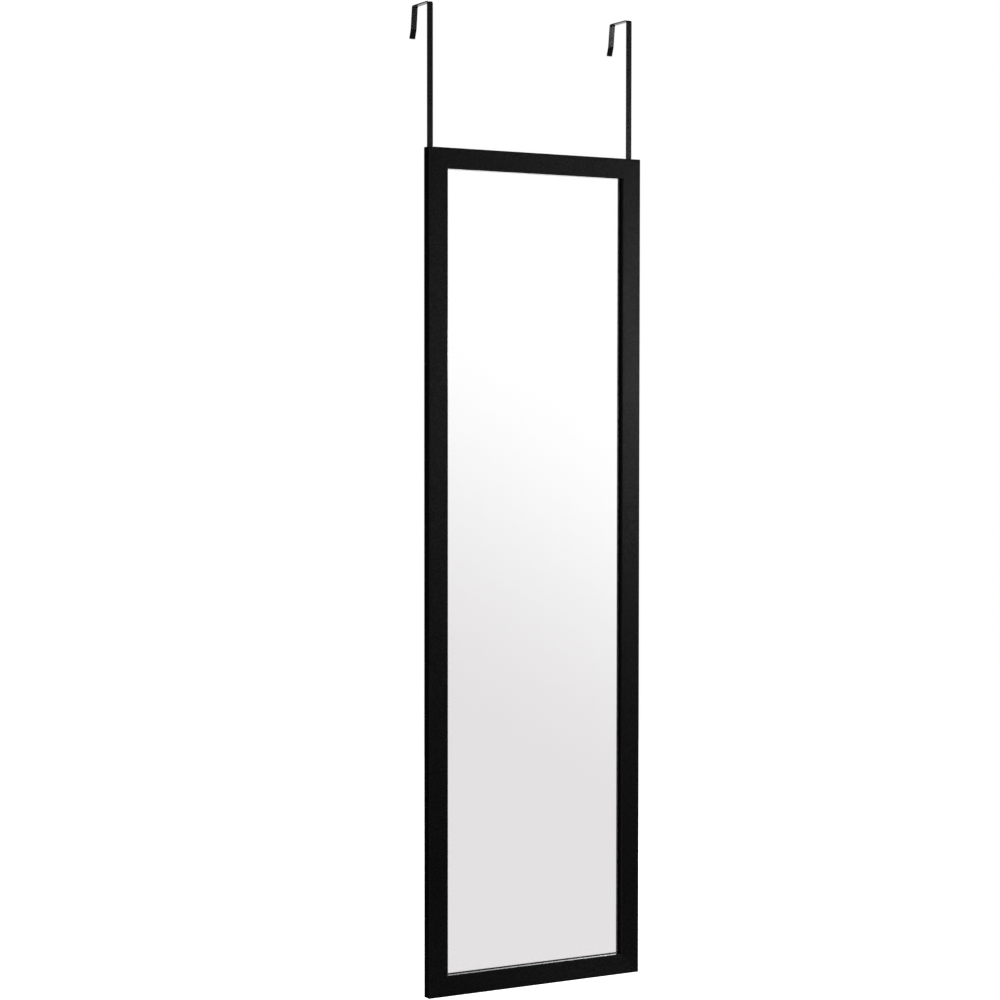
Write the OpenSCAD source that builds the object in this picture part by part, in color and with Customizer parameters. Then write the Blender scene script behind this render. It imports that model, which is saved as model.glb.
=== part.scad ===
// A tall, narrow framed mirror that hangs on a door by two long flat hooks.
//
// X runs across the door, Y from the room into the door and Z up. The origin is on the top front
// edge of the door, midway between the hooks: z = 0 is the top of the door and y = 0 is its front.

/* [Frame] */
// Width of the frame, outside to outside
frame_w = 350; // [260:5:600]
// Height of the frame, outside to outside
frame_h = 1200; // [700:10:1600]
// Width of each moulding, seen from the front
rail_w = 30; // [27:1:50]
// Depth of each moulding, front to back
rail_d = 16; // [15:0.5:28]
// Depth of the lip in front of the glass
lip_d = 6; // [3:0.5:7]
// Width of the rebate that the glass lies in
rebate_w = 8; // [6:0.5:9]
// Radius of the outer front edge
front_edge_r = 1.2; // [0.4:0.1:2.5]
// Radius of the edge next to the glass
lip_edge_r = 0.8; // [0.3:0.1:2]
// Radius of the outer back edge
back_edge_r = 0.6; // [0.3:0.1:1.5]

/* [Mirror] */
// Thickness of the glass
glass_t = 3; // [2:0.5:4]
// Thickness of the silver and its protective paint
silver_t = 0.1; // [0.05:0.05:0.2]
// Thickness of the backing board
board_t = 3; // [2:0.5:4]
// Gap round the glass and the board, at the sides and twice this at the top
pane_play = 1; // [0.5:0.1:2]

/* [Framer's points] */
// Width of a point
point_w = 8; // [5:0.5:12]
// Thickness of a point
point_t = 0.6; // [0.4:0.1:1]
// How far a point is driven into the moulding
point_in = 6; // [4:0.5:8]
// How far a point stands out over the board
point_out = 7; // [4:0.5:10]
// Length of a point's tapered end
point_taper = 3; // [1:0.5:4]
// Distance from a corner to the first point
point_start = 70; // [45:5:110]
// Spacing of the points, rounded so that they come out even
point_pitch = 180; // [120:10:300]

/* [Corner wedges] */
// Length of each leg of a wedge
wedge_leg = 5.5; // [4:0.5:6]
// Thickness of a wedge
wedge_t = 0.5; // [0.3:0.1:0.8]
// Length of the turned-in ends of a wedge
wedge_lip = 1.2; // [0.9:0.1:1.5]
// How deep a wedge reaches into the moulding
wedge_h = 10; // [6:0.5:12]
// How far a wedge is sunk below the back
wedge_sink = 0.3; // [0.1:0.1:1]
// Distance of the outer wedge from the frame's edges
wedge_first = 3.5; // [2.5:0.5:4]
// Step from the outer wedge to the inner one
wedge_step = 8; // [7:0.5:9]

/* [Hooks] */
// Width of the flat strap
strap_w = 9; // [8:0.5:12]
// Thickness of the flat strap
strap_t = 1.5; // [1:0.1:2]
// From the frame's side to the strap's outer edge
strap_inset = 5.5; // [4:0.5:6]
// From the top of the door down to the top of the frame
hook_drop = 203.5; // [90:0.5:300]
// Room for the door inside each hook
hook_gap = 44.5; // [35:0.5:55]
// Inside radius of the two bends over the door
bend_r = 2; // [1:0.5:4]
// How far the leg behind the door leans away from it, in degrees
leg_lean = 7; // [2:0.5:12]
// From the top of the door down to the crease in the leg
leg_h = 31; // [22:1:60]
// Length of the flared tip below the crease
tip_len = 13.5; // [8:0.5:20]
// How far the tip leans away from the door, in degrees
tip_lean = 19.5; // [13:0.5:35]
// Inside radius of the crease
crease_r = 2; // [1:0.5:4]
// Radius of the tip's corners
tip_corner_r = 1.2; // [0.5:0.1:3]

/* [Height adjustment] */
// How far the straps can be pushed down behind the frame
travel = 60; // [20:5:80]
// Width of the slot in a strap
slot_w = 4.2; // [3.9:0.1:4.5]
// Frame above the slot, which keeps the slot out of sight
slot_cover = 15; // [12:1:40]
// Metal below the slot's lower end
slot_foot = 8; // [5:0.5:15]
// Distance between a strap's two screws
screw_pitch = 30; // [20:1:50]
// Running clearance on each face of a strap
strap_play = 0.05; // [0.02:0.01:0.1]

/* [Screws and washers] */
// Diameter of a screw over its thread
screw_d = 3.5; // [3:0.1:3.7]
// Length of a screw under its head
screw_l = 12; // [8:0.5:13]
// Length of a screw's pointed end
screw_tip = 3; // [2:0.5:4]
// Diameter of a screw's head
head_d = 7; // [6:0.5:8]
// Height of a screw's domed head
head_h = 1.6; // [1.3:0.1:2.4]
// Height of the head's straight edge, below its dome
head_rim = 0.4; // [0.2:0.1:0.6]
// Length of the cross in the head
cross_l = 3.6; // [2.5:0.1:4.5]
// Width of the cross in the head
cross_w = 0.8; // [0.5:0.1:1]
// Depth of the cross in the head
cross_d = 0.9; // [0.5:0.1:1]
// Outer diameter of a washer
washer_d = 9; // [8:0.5:12]
// Thickness of a washer
washer_t = 0.8; // [0.5:0.1:1.2]
// Clearance of a washer round its screw
washer_play = 0.25; // [0.1:0.05:0.5]
// Clearance of what is driven into the mouldings
driven_play = 0.05; // [0.02:0.01:0.1]

/* [Door pads] */
// Diameter of a pad
pad_d = 12; // [8:1:18]
// How far the pads stand proud of the screw heads
pad_proud = 0.6; // [0.3:0.1:3]
// Radius of a pad's free edge
pad_edge_r = 0.8; // [0.3:0.1:1.5]
// From the frame's side to a pad's centre
pad_inset = 45; // [35:5:80]

/* [Hidden] */
$fn = 64;
// how far a cutting shape runs past the face that it cuts
over = 1;

// across the frame's thickness
pad_t = 2 * strap_play + strap_t + washer_t + head_h + pad_proud;
back_y = -pad_t;
front_y = back_y - rail_d;
glass_y = front_y + lip_d;
silver_y = glass_y + glass_t;
board_y = silver_y + silver_t;
point_y = board_y + board_t;

// the frame's outline, and the moulding beside the rebate
top_z = -hook_drop;
bottom_z = top_z - frame_h;
wall_w = rail_w - rebate_w;
pane_w = frame_w - 2 * (wall_w + pane_play);
pane_h = frame_h - 2 * (wall_w + pane_play);
pane_z = bottom_z + wall_w;

// the mouldings run round the frame: left up, top across, right down, bottom back
LEFT = 0;
TOP = 1;
RIGHT = 2;
BOTTOM = 3;
rail_len = [frame_h, frame_w, frame_h, frame_w];
rail_start = [
    [-frame_w / 2, front_y, bottom_z],
    [-frame_w / 2, front_y, top_z],
    [frame_w / 2, front_y, top_z],
    [frame_w / 2, front_y, bottom_z],
];

// the straps behind the stiles
strap_x = frame_w / 2 - strap_inset - strap_w / 2;
strap_y = back_y + strap_play;
strap_back_y = strap_y + strap_t;
washer_y = strap_back_y + strap_play;
head_y = washer_y + washer_t;
slot_top_z = top_z - slot_cover - slot_w / 2;
screw_z = [slot_top_z - travel, slot_top_z - travel - screw_pitch];
slot_bottom_z = screw_z[1];
strap_end_z = slot_bottom_z - slot_w / 2 - slot_foot;

// the hook's path along the middle of its metal: stations of y, z and heading, in degrees from up
mid_r = bend_r + strap_t / 2;
bend_step = 5;
arc_out = 0.02;
bridge_len = hook_gap - bend_r - bend_r * cos(leg_lean);
leg_len = (leg_h - bend_r + mid_r * sin(leg_lean)) / cos(leg_lean);
foot = [strap_y + strap_t / 2, strap_end_z, 0];
over_front = bend([foot[0], -bend_r, 0], 90, bend_r);
over_back = bend(ahead(last(over_front), bridge_len), 90 - leg_lean, bend_r);
crease = bend(ahead(last(over_back), leg_len), leg_lean - tip_lean, crease_r);
tip_end = ahead(last(crease), tip_len);
strap_path = concat([foot], over_front, over_back, crease, [tip_end]);

// what is left of a square corner at the origin once it is rounded to radius r
module corner_waste(r) {
    difference() {
        translate([-over, -over]) square(r + over);
        translate([r, r]) circle(r);
    }
}

// turns a shape drawn up from z = 0 so that it stands on the plane y = 0 and reaches into +Y
module into_door() {
    rotate([-90, 0, 0]) children();
}

// a flat shape drawn as x across and y along z, and made t thick from y = 0 into +Y
module plate(t) {
    translate([0, t, 0]) rotate([90, 0, 0]) linear_extrude(t) children();
}

// ---- mouldings ----

// moulding's section: x from the frame's side inwards, y from its front to its back
module rail_section() {
    difference() {
        square([rail_w, rail_d]);
        translate([wall_w, lip_d]) square([rebate_w + over, rail_d - lip_d + over]);
        corner_waste(front_edge_r);
        translate([rail_w, 0]) mirror([1, 0]) corner_waste(lip_edge_r);
        translate([0, rail_d]) mirror([0, 1]) corner_waste(back_edge_r);
    }
}

// what is inside a moulding's two mitre cuts
module between_mitres(len) {
    translate([0, -over, 0])
        plate(rail_d + 2 * over)
            polygon([
                [-over, -over],
                [-over, len + over],
                [rail_w + over, len - rail_w - over],
                [rail_w + over, rail_w + over],
            ]);
}

// puts what is drawn for a moulding, along z from its start, in that moulding's place
module on_rail(side) {
    translate(rail_start[side]) rotate([0, 90 * side, 0]) children();
}

// one moulding with the cuts for its points and wedges
module rail(side) {
    len = rail_len[side];
    on_rail(side)
        difference() {
            intersection() {
                linear_extrude(len) rail_section();
                between_mitres(len);
            }
            for (z = point_places(len)) translate([0, 0, z]) point_slit();
            wedge_pair(driven_play);
            translate([0, 0, len]) mirror([0, 0, 1]) wedge_pair(driven_play);
        }
}

// ---- corner wedges ----

// plan of one wedge: two legs from the mitre, one along each moulding, with turned-in ends
module wedge_plan(play) {
    translate([-play, -play]) square([wedge_leg + 2 * play, wedge_t + 2 * play]);
    translate([-play, -play]) square([wedge_t + 2 * play, wedge_leg + 2 * play]);
    translate([wedge_leg - wedge_t - play, -play]) square([wedge_t + 2 * play, wedge_lip + 2 * play]);
    translate([-play, wedge_leg - wedge_t - play]) square([wedge_lip + 2 * play, wedge_t + 2 * play]);
}

// the two wedges at a moulding's start, or with play above 0 the cuts that they go in
module wedge_pair(play = 0) {
    open = play > 0 ? wedge_sink + over : 0;
    for (i = [0, 1]) {
        at = wedge_first + i * wedge_step;
        translate([at, rail_d - wedge_sink - wedge_h - play, at])
            plate(wedge_h + play + open) wedge_plan(play);
    }
}

// ---- framer's points ----

// where the points lie along a moulding of this length
function point_places(len) =
    let (room = len - 2 * point_start, n = max(1, round(room / point_pitch)))
    [for (i = [0:n]) point_start + i * room / n];

// one point, drawn with its middle at z = 0: its tapered end is in the moulding
module framers_point() {
    start = wall_w - point_in;
    stop = wall_w + point_out;
    half = point_w / 2;
    translate([0, point_y - front_y, 0])
        plate(point_t)
            polygon([
                [start, 0],
                [start + point_taper, half],
                [stop, half],
                [stop, -half],
                [start + point_taper, -half],
            ]);
}

// the slit that a point is driven into
module point_slit() {
    translate([
        wall_w - point_in - driven_play,
        point_y - front_y - driven_play,
        -point_w / 2 - driven_play,
    ])
        cube([point_in + driven_play + over, point_t + 2 * driven_play, point_w + 2 * driven_play]);
}

module framers_points(side) {
    on_rail(side)
        for (z = point_places(rail_len[side])) translate([0, 0, z]) framers_point();
}

// ---- mirror and board ----

// a sheet with the pane's outline, standing on the bottom rail's rebate
module pane(y, t) {
    translate([-pane_w / 2, y, pane_z]) cube([pane_w, t, pane_h]);
}

// ---- screws, washers and pads ----

// one screw, head up, with the underside of its head at z = 0
module screw() {
    dome_h = head_h - head_rim;
    dome_r = (pow(head_d / 2, 2) + pow(dome_h, 2)) / (2 * dome_h);
    difference() {
        rotate_extrude()
            intersection() {
                square([head_d / 2, head_h]);
                translate([0, head_h - dome_r]) circle(dome_r);
            }
        for (turn = [0, 90])
            rotate(turn)
                translate([-cross_l / 2, -cross_w / 2, head_h - cross_d])
                    cube([cross_l, cross_w, cross_d + over]);
    }
    shank = screw_l - screw_tip;
    translate([0, 0, -shank]) cylinder(h = shank, d = screw_d);
    translate([0, 0, -screw_l]) cylinder(h = screw_tip, d1 = screw_d / 4, d2 = screw_d);
}

// the places of one strap's two screws, side being -1 for the left strap and 1 for the right
module at_screws(side, y) {
    for (z = screw_z) translate([side * strap_x, y, z]) into_door() children();
}

module hook_screws(side) {
    at_screws(side, head_y) screw();
}

module hook_washers(side) {
    at_screws(side, washer_y)
        difference() {
            cylinder(h = washer_t, d = washer_d);
            translate([0, 0, -over])
                cylinder(h = washer_t + 2 * over, d = screw_d + 2 * washer_play);
        }
}

// the holes that a strap's screws are driven into
module screw_holes(side) {
    depth = screw_l - (head_y - back_y) + driven_play;
    at_screws(side, back_y)
        translate([0, 0, -depth]) cylinder(h = depth + over, d = screw_d + 2 * driven_play);
}

// a pad on the back of the top or bottom rail, side being -1 for left and 1 for right
module pad(side, z) {
    translate([side * (frame_w / 2 - pad_inset), back_y, z])
        into_door()
            rotate_extrude()
                difference() {
                    square([pad_d / 2, pad_t]);
                    translate([pad_d / 2, pad_t]) mirror([1, 0]) mirror([0, 1])
                        corner_waste(pad_edge_r);
                }
}

// ---- hooks ----

// where a straight length of strap ends that starts at a station
function ahead(s, len) = [s[0] + len * sin(s[2]), s[1] + len * cos(s[2]), s[2]];

// where the strap is after turning by an angle, towards +Y if it is positive, about inside radius r
function turned(s, angle, r) =
    let (m = sign(angle) * (r + strap_t / 2), h = s[2] + angle)
    [s[0] + m * (cos(s[2]) - cos(h)), s[1] + m * (sin(h) - sin(s[2])), h];

// the stations along a bend
function bend(s, angle, r) =
    let (n = ceil(abs(angle) / bend_step))
    [for (i = [0:n]) turned(s, angle * i / n, r)];

// one point beside each station, on the side towards the door if side is 1
function beside(stations, side) =
    [for (s = stations) [s[0] + side * strap_t / 2 * cos(s[2]), s[1] - side * strap_t / 2 * sin(s[2])]];

function last(list) = list[len(list) - 1];

function backwards(list) = [for (i = [len(list) - 1:-1:0]) list[i]];

// the flared end's rounded corners, as the waste to cut away, set out a little so that each arc
// crosses the strap's side and end at a clear angle
module tip_waste() {
    translate([0, tip_end[0], tip_end[1]])
        rotate([180 - tip_end[2], 0, 0])
            for (right = [0, 1])
                mirror([right, 0, 0])
                    translate([-strap_w / 2 - arc_out, -strap_t, -arc_out])
                        plate(2 * strap_t) corner_waste(tip_corner_r);
}

// what is cut from the lower end of a strap: the slot, and the waste outside its round foot
module slot_and_foot() {
    depth = strap_t + 2 * over;
    translate([0, -over, 0]) {
        for (z = [slot_top_z, slot_bottom_z])
            translate([0, 0, z]) into_door() cylinder(h = depth, d = slot_w);
        translate([-slot_w / 2, 0, slot_bottom_z])
            cube([slot_w, depth, slot_top_z - slot_bottom_z]);
        difference() {
            translate([-strap_w / 2 - over, 0, strap_end_z - over])
                cube([strap_w + 2 * over, depth, strap_w / 2 + over]);
            translate([0, -over, strap_end_z + strap_w / 2])
                into_door() cylinder(h = depth + 2 * over, d = strap_w);
        }
    }
}

// one hook: up the stile's back, over the door, down behind it and out at the tip
module hook(side) {
    translate([side * strap_x, 0, 0])
        difference() {
            translate([-strap_w / 2, 0, 0])
                rotate([90, 0, 90])
                    linear_extrude(strap_w)
                        polygon(concat(beside(strap_path, -1), backwards(beside(strap_path, 1))));
            translate([0, strap_y, 0]) slot_and_foot();
            tip_waste();
        }
}

// ---- the pieces ----

FRAME = [0.07, 0.07, 0.07];
STRAP = [0.05, 0.05, 0.05];
STEEL = [0.72, 0.73, 0.75];

module left_stile() {
    color(FRAME) difference() {
        rail(LEFT);
        screw_holes(-1);
    }
}
module top_rail() { color(FRAME) rail(TOP); }
module right_stile() {
    color(FRAME) difference() {
        rail(RIGHT);
        screw_holes(1);
    }
}
module bottom_rail() { color(FRAME) rail(BOTTOM); }

module bottom_left_wedges() { color(STEEL) on_rail(LEFT) wedge_pair(); }
module top_left_wedges() { color(STEEL) on_rail(TOP) wedge_pair(); }
module top_right_wedges() { color(STEEL) on_rail(RIGHT) wedge_pair(); }
module bottom_right_wedges() { color(STEEL) on_rail(BOTTOM) wedge_pair(); }

module mirror_glass() { color([0.80, 0.88, 0.86]) pane(glass_y, glass_t); }
module mirror_silvering() { color([0.88, 0.88, 0.90]) pane(silver_y, silver_t); }
module backing_board() { color([0.45, 0.33, 0.22]) pane(board_y, board_t); }

module left_framers_points() { color(STEEL) framers_points(LEFT); }
module top_framers_points() { color(STEEL) framers_points(TOP); }
module right_framers_points() { color(STEEL) framers_points(RIGHT); }
module bottom_framers_points() { color(STEEL) framers_points(BOTTOM); }

module left_hook() { color(STRAP) hook(-1); }
module right_hook() { color(STRAP) hook(1); }
module left_hook_screws() { color(STEEL) hook_screws(-1); }
module right_hook_screws() { color(STEEL) hook_screws(1); }
module left_hook_washers() { color(STEEL) hook_washers(-1); }
module right_hook_washers() { color(STEEL) hook_washers(1); }

module top_left_pad() { color([0.15, 0.15, 0.15]) pad(-1, top_z - wall_w / 2); }
module top_right_pad() { color([0.15, 0.15, 0.15]) pad(1, top_z - wall_w / 2); }
module bottom_left_pad() { color([0.15, 0.15, 0.15]) pad(-1, bottom_z + wall_w / 2); }
module bottom_right_pad() { color([0.15, 0.15, 0.15]) pad(1, bottom_z + wall_w / 2); }

left_stile();
top_rail();
right_stile();
bottom_rail();
bottom_left_wedges();
top_left_wedges();
top_right_wedges();
bottom_right_wedges();
mirror_glass();
mirror_silvering();
backing_board();
left_framers_points();
top_framers_points();
right_framers_points();
bottom_framers_points();
left_hook();
right_hook();
left_hook_screws();
right_hook_screws();
left_hook_washers();
right_hook_washers();
top_left_pad();
top_right_pad();
bottom_left_pad();
bottom_right_pad();
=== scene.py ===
import math

import bmesh
import bpy
from mathutils import Matrix, Vector


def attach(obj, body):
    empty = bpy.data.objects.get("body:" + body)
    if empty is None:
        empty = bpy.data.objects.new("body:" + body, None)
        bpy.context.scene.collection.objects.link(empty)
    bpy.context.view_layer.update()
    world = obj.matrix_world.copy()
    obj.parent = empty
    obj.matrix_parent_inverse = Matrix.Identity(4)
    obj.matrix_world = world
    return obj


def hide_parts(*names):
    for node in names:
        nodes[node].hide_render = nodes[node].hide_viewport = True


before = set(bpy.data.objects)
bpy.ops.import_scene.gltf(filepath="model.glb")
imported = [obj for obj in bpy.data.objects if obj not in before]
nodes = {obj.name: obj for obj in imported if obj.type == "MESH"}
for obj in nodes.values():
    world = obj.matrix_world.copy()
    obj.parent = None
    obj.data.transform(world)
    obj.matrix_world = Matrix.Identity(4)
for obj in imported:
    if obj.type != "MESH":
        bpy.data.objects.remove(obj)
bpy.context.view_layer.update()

MM = 0.001
scene = bpy.context.scene
scene.view_settings.view_transform = "Standard"

STILES = ("left_stile", "right_stile")
MOULDINGS = ("left_stile", "top_rail", "right_stile", "bottom_rail")
WEDGES = ("bottom_left_wedges", "top_left_wedges", "top_right_wedges", "bottom_right_wedges")
POINTS = ("left_framers_points", "top_framers_points",
          "right_framers_points", "bottom_framers_points")
FIXINGS = ("left_hook_screws", "right_hook_screws", "left_hook_washers", "right_hook_washers")
PADS = ("top_left_pad", "top_right_pad", "bottom_left_pad", "bottom_right_pad")

# ---- camera, at the place that a fit to the frame's edges in the photograph gives ----

CAMERA_AT = (-1.75809, -3.03341, -0.58865)
CAMERA_TURN = -29.3900   # this and the next two in degrees
CAMERA_TILT = -1.8394
CAMERA_ROLL = 0.0374
LENS_MM = 87.328

data = bpy.data.cameras.new("camera")
data.lens = LENS_MM
data.sensor_width = 36
data.clip_start = 0.05
data.clip_end = 60
camera = bpy.data.objects.new("camera", data)
camera.location = CAMERA_AT
camera.rotation_euler = (Matrix.Rotation(math.radians(CAMERA_TURN), 3, "Z")
                         @ Matrix.Rotation(math.radians(90 + CAMERA_TILT), 3, "X")
                         @ Matrix.Rotation(math.radians(CAMERA_ROLL), 3, "Z")).to_euler()
scene.collection.objects.link(camera)
scene.camera = camera


# ---- helpers for nodes ----

NOISE = (0.3, 0.7)       # between these lies nearly all that a noise texture gives


class Tree:
    """A node tree under construction: makes nodes and joins them by socket name."""

    def __init__(self, owner):
        owner.use_nodes = True
        self.tree = owner.node_tree
        self.tree.nodes.clear()

    def node(self, kind, inputs=None, **settings):
        made = self.tree.nodes.new(kind)
        for key, value in settings.items():
            setattr(made, key, value)
        for key, value in (inputs or {}).items():
            self.feed(made.inputs[key], value)
        return made

    def feed(self, socket, value):
        if isinstance(value, bpy.types.NodeSocket):
            self.tree.links.new(value, socket)
        else:
            socket.default_value = value

    def math(self, operation, *values):
        made = self.node("ShaderNodeMath", operation=operation)
        for socket, value in zip(made.inputs, values):
            self.feed(socket, value)
        return made.outputs[0]

    def mix(self, factor, a, b):
        """The colour a where factor is 0, and b where it is 1."""
        made = self.node("ShaderNodeMix", data_type="RGBA")    # its colours are sockets 6 and 7
        for place, value in ((0, factor), (6, a), (7, b)):
            self.feed(made.inputs[place], value)
        return made.outputs[2]

    def spread(self, value, ends, to_low=0.0, to_high=1.0, curve="LINEAR"):
        """Takes the range between the two ends to that from to_low to to_high, and stays in it."""
        made = self.node("ShaderNodeMapRange", interpolation_type=curve, inputs={
            "Value": value, "From Min": ends[0], "From Max": ends[1],
            "To Min": to_low, "To Max": to_high})
        return made.outputs[0]

    def noise(self, vector, scale, detail=2.0, roughness=0.5):
        """Noise between 0 and 1, with scale cells to the metre."""
        made = self.node("ShaderNodeTexNoise", inputs={
            "Vector": vector, "Scale": scale, "Detail": detail, "Roughness": roughness})
        return made.outputs["Fac"]

    def coordinates(self, stretch=None):
        """The object's own coordinates, times stretch: the larger it is along an axis, the
        shorter a pattern gets there."""
        place = self.node("ShaderNodeTexCoord").outputs["Object"]
        if stretch is None:
            return place
        return self.node("ShaderNodeMapping", inputs={"Vector": place, "Scale": stretch}).outputs[0]

    def bump(self, height, depth_mm, strength=1.0):
        """The normals of a relief that is this deep where height is 1."""
        return self.node("ShaderNodeBump", inputs={
            "Height": height, "Distance": depth_mm * MM, "Strength": strength}).outputs[0]

    def principled(self, **inputs):
        named = {key.replace("_", " "): value for key, value in inputs.items()}
        shader = self.node("ShaderNodeBsdfPrincipled", inputs=named)
        self.node("ShaderNodeOutputMaterial", inputs={"Surface": shader.outputs[0]})


def new_material(name):
    made = bpy.data.materials.new(name)
    return made, Tree(made)


def grey(level):
    return (level, level, level, 1)


# ---- materials ----

SPECKLE_SCALE = 655      # puts the moulding's front midway through a layer of the noise's cells
SPECKLE_BASE = (0.0003, 0.0015)    # the base colour beside the specks and in them
SPECKLE_SHINE = (0.69, 1.31)       # the tint of what they mirror, which is 1 on the average


def frame_black(name, stretch, rough, painted_sheen=None):
    """Black wrapped moulding: a fine speckle, and a finer grain that runs along the moulding.
    The last argument tells along which axis the base colour grows paler, from where to where, and
    how many times: a painted sheen, not a tone of the wrap."""
    made, t = new_material(name)
    at = t.coordinates()
    speckle = t.spread(t.noise(at, SPECKLE_SCALE, detail=1.0), NOISE)
    grain = t.noise(t.coordinates(stretch), 1300, roughness=0.6)
    cloud = t.noise(at, 24, detail=3.0)
    beside, inside = SPECKLE_BASE
    colour = t.mix(speckle, grey(beside), grey(inside))
    # painted sheen: a stretch where the base colour grows paler, in place of reflected light
    if painted_sheen:
        axis, start, end, times = painted_sheen
        place = t.node("ShaderNodeSeparateXYZ", inputs={"Vector": at}).outputs[axis]
        painted_sheen_colour = t.mix(speckle, grey(beside * times), grey(inside * times))
        colour = t.mix(t.spread(place, (start, end)), colour, painted_sheen_colour)
    beside, inside = SPECKLE_SHINE
    shine = t.mix(speckle, grey(beside), grey(inside))
    height = t.math("ADD", speckle, t.math("MULTIPLY", grain, 0.5))
    t.principled(Base_Color=colour, Specular_IOR_Level=0.36, Specular_Tint=shine,
                 Roughness=t.spread(cloud, NOISE, rough - 0.01, rough + 0.01),
                 Normal=t.bump(height, 0.02))
    return made


def lip_black():
    """The moulding's narrow inner face, where the wrap is smooth and glossy at a flat angle."""
    made, t = new_material("frame_lip")
    mottle = t.noise(t.coordinates(), 620)
    t.principled(Base_Color=t.mix(mottle, grey(0.0008), grey(0.0020)), Specular_IOR_Level=1.0,
                 Roughness=t.spread(mottle, NOISE, 0.06, 0.09), Normal=t.bump(mottle, 0.01, 0.3))
    return made


def hook_black():
    """Black powder paint on flat steel, with a slight orange peel."""
    made, t = new_material("hook_black")
    at = t.coordinates()
    peel = t.noise(at, 520)
    dust = t.noise(at, 60, detail=4.0)
    t.principled(Base_Color=t.mix(dust, grey(0.0010), grey(0.0026)), Specular_IOR_Level=0.72,
                 Roughness=t.spread(dust, NOISE, 0.26, 0.30), Normal=t.bump(peel, 0.02, 0.25))
    return made


def clear_glass():
    made, t = new_material("clear_glass")
    t.principled(Base_Color=(0.985, 0.992, 0.988, 1), Roughness=0.0, IOR=1.52,
                 Transmission_Weight=1.0)
    return made


def silver_mirror():
    made, t = new_material("silver_mirror")
    t.principled(Base_Color=grey(0.97), Roughness=0.0, Metallic=1.0)
    return made


def mirror_paint():
    """The grey paint that guards the silver, on its back and edges."""
    made, t = new_material("mirror_paint")
    streak = t.noise(t.coordinates((6, 1, 90)), 6, detail=3.0)
    colour = t.mix(streak, (0.16, 0.17, 0.18, 1), (0.21, 0.22, 0.23, 1))
    t.principled(Base_Color=colour, Roughness=0.6, Normal=t.bump(streak, 0.04, 0.3))
    return made


def hardboard():
    """Brown pressed board: short fibres, darker specks and a felted surface."""
    made, t = new_material("hardboard")
    at = t.coordinates()
    fibre = t.math("MAXIMUM", *(
        t.noise(t.coordinates(stretch), 420, detail=4.0, roughness=0.65)
        for stretch in ((1, 1, 7), (7, 1, 1))))
    cloud = t.noise(at, 14, detail=4.0)
    speck = t.noise(at, 900, detail=1.0)
    tone = t.mix(t.spread(fibre, (0.45, 0.75)), (0.155, 0.083, 0.040, 1), (0.30, 0.18, 0.095, 1))
    tone = t.mix(t.spread(cloud, (0.35, 0.7), 0.0, 0.4), tone, (0.21, 0.115, 0.058, 1))
    tone = t.mix(t.spread(speck, (0.66, 0.74), 0.0, 0.7), tone, (0.07, 0.036, 0.018, 1))
    t.principled(Base_Color=tone, Roughness=0.82, Normal=t.bump(fibre, 0.12, 0.6))
    return made


def brushed(name, tone, rough, stretch):
    """Bare or zinc-plated steel with the fine lines that rolling or turning leaves."""
    made, t = new_material(name)
    lines = t.noise(t.coordinates(stretch), 300, detail=3.0, roughness=0.7)
    cloud = t.noise(t.coordinates(), 160, detail=3.0)
    dark = tuple(0.8 * c for c in tone) + (1,)
    roughness = t.math("ADD", t.spread(lines, NOISE, -0.06, 0.06), rough)
    t.principled(Base_Color=t.mix(t.spread(cloud, NOISE), dark, tone + (1,)),
                 Roughness=roughness, Metallic=1.0, Normal=t.bump(lines, 0.02, 0.35))
    return made


def pad_rubber():
    """Dark foam rubber with small open pores, whose colour is darker at their middles: painted
    shade in the hollows.
    """
    made, t = new_material("pad_rubber")
    at = t.coordinates()
    pores = t.node("ShaderNodeTexVoronoi", inputs={"Vector": at, "Scale": 1500}).outputs["Distance"]
    grain = t.noise(at, 2200)
    # painted shade: the colour is darker at the pores' middles, where the relief is deepest
    colour = t.mix(t.spread(pores, (0.1, 0.5)), grey(0.006), grey(0.022))
    height = t.math("ADD", t.math("MULTIPLY", pores, 0.7), t.math("MULTIPLY", grain, 0.3))
    t.principled(Base_Color=colour, Roughness=0.86, Specular_IOR_Level=0.3,
                 Normal=t.bump(height, 0.15, 0.6))
    return made


def dress(names, material):
    for name in names:
        mesh = nodes[name].data
        mesh.materials.clear()
        mesh.materials.append(material)


ALONG_X = (0.04, 1, 1)   # draws the grain out to 25 times its length along this axis
ALONG_Z = (1, 1, 0.04)

# painted sheen: the stiles' base colour grows up to 2.8 times paler over their lowest 140 mm
dress(STILES, frame_black("frame_upright", ALONG_Z, 0.315, ("Z", -1.25, -1.39, 2.8)))
dress(("top_rail",), frame_black("frame_top", ALONG_X, 0.345))
# painted sheen: the bottom rail's base colour grows up to 4.5 times paler towards the right,
# standing in for the light from the right
dress(("bottom_rail",), frame_black("frame_bottom", ALONG_X, 0.38, ("X", -0.15, 0.05, 4.5)))
dress(WEDGES, brushed("wedge_steel", (0.50, 0.51, 0.53), 0.38, (1, 8, 1)))
dress(POINTS, brushed("point_steel", (0.46, 0.47, 0.49), 0.36, (1, 1, 9)))
dress(FIXINGS, brushed("zinc", (0.66, 0.67, 0.69), 0.32, (1, 6, 1)))
dress(PADS, pad_rubber())
dress(("backing_board",), hardboard())
dress(("mirror_silvering",), silver_mirror())

# the faces round the opening in front of the glass, the rounding of their front edge included
LIP_X = 0.145
LIP_Z = (-1.3735, -0.2335)
LIP_ROUND = 0.8 * MM
lip = lip_black()
for name in MOULDINGS:
    mesh = nodes[name].data
    mesh.materials.append(lip)
    for face in mesh.polygons:
        x, _, z = face.center
        if abs(x) < LIP_X + LIP_ROUND and LIP_Z[0] - LIP_ROUND < z < LIP_Z[1] + LIP_ROUND:
            face.material_index = 1

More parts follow.
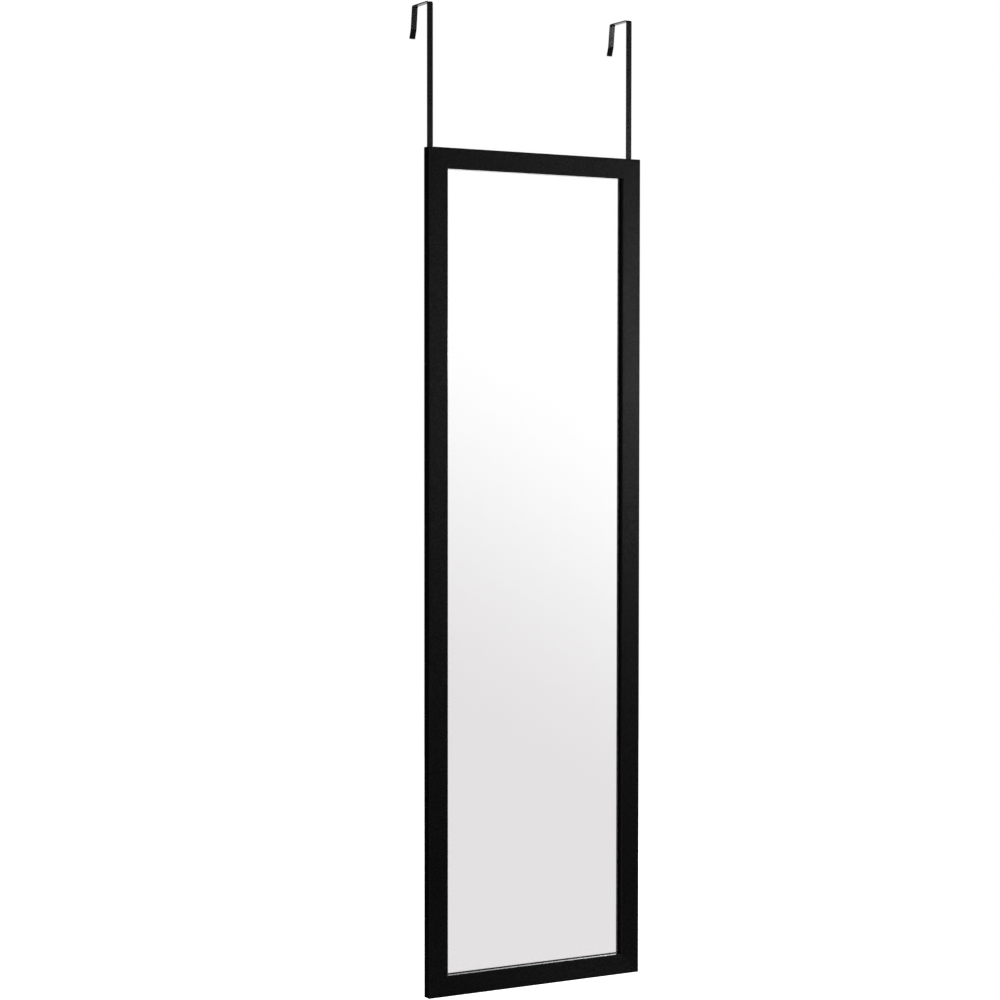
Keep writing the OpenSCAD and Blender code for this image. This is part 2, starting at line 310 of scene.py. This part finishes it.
# the silver shows on the side that faces the glass, and its paint everywhere else
silvering = nodes["mirror_silvering"].data
silvering.materials.append(mirror_paint())
for face in silvering.polygons:
    face.material_index = 0 if face.normal.y < -0.5 else 1


# ---- pieces that stand for CAD nodes, with the fine edges that these have ----

SAME_PLACE = 1e-6        # in metres
SAME_PLANE = 0.5         # in degrees
SHARP = 40               # in degrees, between the faces at an edge


def piece_from(bm, name, body, node, material):
    """The piece with this mesh, which moves with the body and takes the node's place."""
    mesh = bpy.data.meshes.new(name)
    bm.normal_update()
    bm.to_mesh(mesh)
    bm.free()
    mesh.materials.append(material)
    made = bpy.data.objects.new(name, mesh)
    scene.collection.objects.link(made)
    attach(made, body)
    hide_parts(node)
    return made


def clean_copy(node):
    """A node's mesh with its triangles joined into the flat faces that they came from."""
    bm = bmesh.new()
    bm.from_mesh(nodes[node].data)
    bmesh.ops.remove_doubles(bm, verts=bm.verts, dist=SAME_PLACE)
    bmesh.ops.dissolve_limit(bm, angle_limit=math.radians(SAME_PLANE),
                             use_dissolve_boundaries=False, verts=bm.verts, edges=bm.edges)
    return bm


def sharp_edges(bm, degrees):
    return [e for e in bm.edges
            if len(e.link_faces) == 2 and e.calc_face_angle(0) > math.radians(degrees)]


def soften(mesh, degrees):
    """Smooth shading that leaves the large faces flat: each corner's normal is the area-weighted
    mean of the faces round its vertex that lie within this angle of its own face."""
    mesh.shade_smooth()
    around = [[] for _ in mesh.vertices]
    for face in mesh.polygons:
        for v in face.vertices:
            around[v].append(face)
    limit = math.cos(math.radians(degrees))
    normals = []
    for face in mesh.polygons:
        for v in face.vertices:
            total = Vector()
            for other in around[v]:
                if other.normal.dot(face.normal) > limit:
                    total += other.normal * other.area
            normals.append(total.normalized())
    mesh.normals_split_custom_set(normals)


GLASS_GAP = 0.02 * MM    # keeps the back of the glass and the silver from sharing a plane
GLASS_SEAM = 0.4 * MM    # the ground corner along each of the pane's edges
STRAP_EDGE = 0.3 * MM    # the strap's rolled and painted edges

glass = clean_copy("mirror_glass")
back = max(v.co.y for v in glass.verts)
for v in glass.verts:
    if v.co.y > back - SAME_PLACE:
        v.co.y -= GLASS_GAP
bmesh.ops.bevel(glass, geom=list(glass.edges), offset=GLASS_SEAM, segments=1,
                affect="EDGES", profile=0.5)
piece_from(glass, "mirror_glass_seamed", "frame", "mirror_glass", clear_glass())

hook_paint = hook_black()
for name in ("left_hook", "right_hook"):
    strap = clean_copy(name)
    bmesh.ops.bevel(strap, geom=sharp_edges(strap, SHARP), offset=STRAP_EDGE, segments=3,
                    affect="EDGES", profile=0.5, clamp_overlap=True)
    made = piece_from(strap, name + "_painted", name, name, hook_paint)
    soften(made.data, SHARP)


# ---- floor ----

FLOOR_Z = -2.0           # the floor below a two metre door
FLOOR_HALF = 6.0
FLOOR_TONE = 0.62
FLOOR_GLOW = 0.80        # what the camera sees of the floor besides the light that falls on it


def white_floor():
    """White to the camera, with the object's shadow, and clear to rays that were reflected or
    went through the glass."""
    made, t = new_material("floor")
    path = t.node("ShaderNodeLightPath").outputs
    lit = t.node("ShaderNodeBsdfDiffuse", inputs={"Color": grey(FLOOR_TONE)})
    glow = t.node("ShaderNodeEmission", inputs={
        "Color": grey(1), "Strength": t.math("MULTIPLY", path["Is Camera Ray"], FLOOR_GLOW)})
    both = t.node("ShaderNodeAddShader", inputs={0: lit.outputs[0], 1: glow.outputs[0]})
    through = t.math("MAXIMUM", path["Is Glossy Ray"], path["Is Transmission Ray"])
    clear = t.node("ShaderNodeBsdfTransparent")
    cover = t.node("ShaderNodeMixShader", inputs={
        0: through, 1: both.outputs[0], 2: clear.outputs[0]})
    t.node("ShaderNodeOutputMaterial", inputs={"Surface": cover.outputs[0]})
    return made


floor_mesh = bpy.data.meshes.new("floor")
corners = [(x * FLOOR_HALF, y * FLOOR_HALF, FLOOR_Z)
           for x, y in ((-1, -1), (1, -1), (1, 1), (-1, 1))]
floor_mesh.from_pydata(corners, [], [(0, 1, 2, 3)])
floor_mesh.materials.append(white_floor())
floor = bpy.data.objects.new("floor", floor_mesh)
scene.collection.objects.link(floor)

# ---- world ----

# The world is white to the camera. What a surface meets in it depends on the surface's gloss, as
# below. Each pair of ends says between which cosines to its direction a part of it fades in.

# a sharp reflection, as in the mirror: a white wall that falls off to pale grey below a slanting
# line
WALL_WHITE = (1.081, 1.065, 1.075, 1)    # over 1 by what the glass and the silver take off
WALL_GREY = (0.821, 0.793, 0.809, 1)
WALL_TILT = 0.626        # how much further down the wall stays white for each step to the right
WALL_ENDS = (-0.070, 0.0976)    # of the fall-off, as tangents from the view's middle
WALL_SOFT = 0.66         # how much of the fall-off is soft at its ends; the rest is even
LEAST_AHEAD = 0.3        # below this cosine to the view's middle the tangents grow no further

# the same wall to a ray that the mirror and the lip round it have both reflected
DARK = 0.97              # how much darker the wall is on the left
DARK_ENDS = (-0.15, 0.25)
BRIGHT = 2.2             # the wall's right end, and its foot on the right
BRIGHT_ENDS = (0.462, 0.53)
FOOT_ENDS, FOOT_RIGHT_ENDS = (-0.1, 0.0), (0.25, 0.4)

# a soft gloss: a dim room, lighter in front, at both sides and overhead, with a white panel behind
# on the right and, for a ray that is reflected twice, the bright foot of the wall
ROOM = 0.003
FRONT, FRONT_ENDS = 0.06, (0.2, 0.8)
SIDES, SIDES_ENDS = 0.28, (0.72, 0.9)
TOP, TOP_ENDS = 0.10, (0.6, 0.85)
PANEL, PANEL_ENDS = 1.1, (0.95, 0.985)
PANEL_AT = Vector((0.49, 0.855, -0.26))
UNDER_ENDS, UNDER_RIGHT_ENDS = (0.0, 0.08), (0.40, 0.46)    # of that foot

STUDIO = 0.75            # all else: an even light


def studio_world():
    world = bpy.data.worlds.new("studio")
    t = Tree(world)
    path = t.node("ShaderNodeLightPath").outputs
    toward = t.node("ShaderNodeTexCoord").outputs["Generated"]

    def along(axis):
        """The ray's part along this axis: a cosine, where the axis is 1 long."""
        return t.node("ShaderNodeVectorMath", operation="DOT_PRODUCT", inputs={
            0: toward, 1: tuple(axis)}).outputs["Value"]

    def fade(value, ends, to_low=0.0, to_high=1.0):
        return t.spread(value, ends, to_low, to_high, curve="SMOOTHSTEP")

    # the camera's axes as the mirror shows them
    turn = camera.rotation_euler.to_matrix()
    right, up, ahead = (Vector((v.x, -v.y, v.z)) for v in (turn.col[0], turn.col[1], -turn.col[2]))
    to_right, to_front = along((1, 0, 0)), along((0, -1, 0))
    to_top, to_foot = along((0, 0, 1)), along((0, 0, -1))

    depth = t.math("MAXIMUM", along(ahead), LEAST_AHEAD)
    slope = t.math("DIVIDE", along(-up - WALL_TILT * right), depth)
    even = t.math("MULTIPLY", t.spread(slope, WALL_ENDS), 1 - WALL_SOFT)
    fallen = t.math("ADD", even, t.math("MULTIPLY", fade(slope, WALL_ENDS), WALL_SOFT))
    wall = t.mix(fallen, WALL_WHITE, WALL_GREY)
    two_or_more = t.math("GREATER_THAN", path["Glossy Depth"], 1.5)
    leftward = fade(to_right, DARK_ENDS, DARK, 0.0)
    wall = t.mix(t.math("MULTIPLY", two_or_more, leftward), wall, grey(0.0))
    just_two = t.math("COMPARE", path["Glossy Depth"], 2.0, 0.5)
    foot = t.math("MULTIPLY", fade(to_foot, FOOT_ENDS), fade(to_right, FOOT_RIGHT_ENDS))
    lit = t.math("MAXIMUM", fade(to_right, BRIGHT_ENDS), foot)
    wall = t.mix(t.math("MULTIPLY", just_two, lit), wall, grey(BRIGHT))

    under = t.math("MULTIPLY", fade(to_foot, UNDER_ENDS), fade(to_right, UNDER_RIGHT_ENDS))
    room = fade(to_front, FRONT_ENDS, ROOM, FRONT)
    for more in (fade(t.math("ABSOLUTE", to_right), SIDES_ENDS, 0.0, SIDES),
                 fade(to_top, TOP_ENDS, 0.0, TOP),
                 fade(along(PANEL_AT.normalized()), PANEL_ENDS, 0.0, PANEL),
                 t.math("MULTIPLY", t.math("MULTIPLY", just_two, under), BRIGHT)):
        room = t.math("ADD", room, more)
    room = t.node("ShaderNodeCombineColor", inputs={
        "Red": room, "Green": room, "Blue": room}).outputs[0]

    glossy = path["Is Glossy Ray"]
    sharp = t.math("MULTIPLY", path["Is Singular Ray"],
                   t.math("MAXIMUM", glossy, path["Is Transmission Ray"]))
    seen = t.mix(glossy, grey(STUDIO), room)
    seen = t.mix(sharp, seen, wall)
    seen = t.mix(path["Is Camera Ray"], seen, grey(1))
    background = t.node("ShaderNodeBackground", inputs={"Color": seen, "Strength": 1.0})
    t.node("ShaderNodeOutputWorld", inputs={"Surface": background.outputs[0]})
    return world


scene.world = studio_world()


# ---- lamps ----

def softbox(name, at, aim, size, watts):
    light = bpy.data.lights.new(name, "AREA")
    light.shape = "RECTANGLE"
    light.size, light.size_y = size
    light.energy = watts
    made = bpy.data.objects.new(name, light)
    made.location = at
    made.rotation_euler = (Vector(aim) - Vector(at)).to_track_quat("-Z", "Y").to_euler()
    scene.collection.objects.link(made)


MIDDLE = (0, 0, -0.7)
softbox("key", (4.1, -5.0, -0.31), (0.1, 0, -0.45), (1.2, 0.2), 17.2)
softbox("fill", (-2.2, -3.6, 1.8), MIDDLE, (1.6, 1.6), 60)
softbox("rear", (2.4, 3.6, 1.4), MIDDLE, (2.0, 1.4), 120)
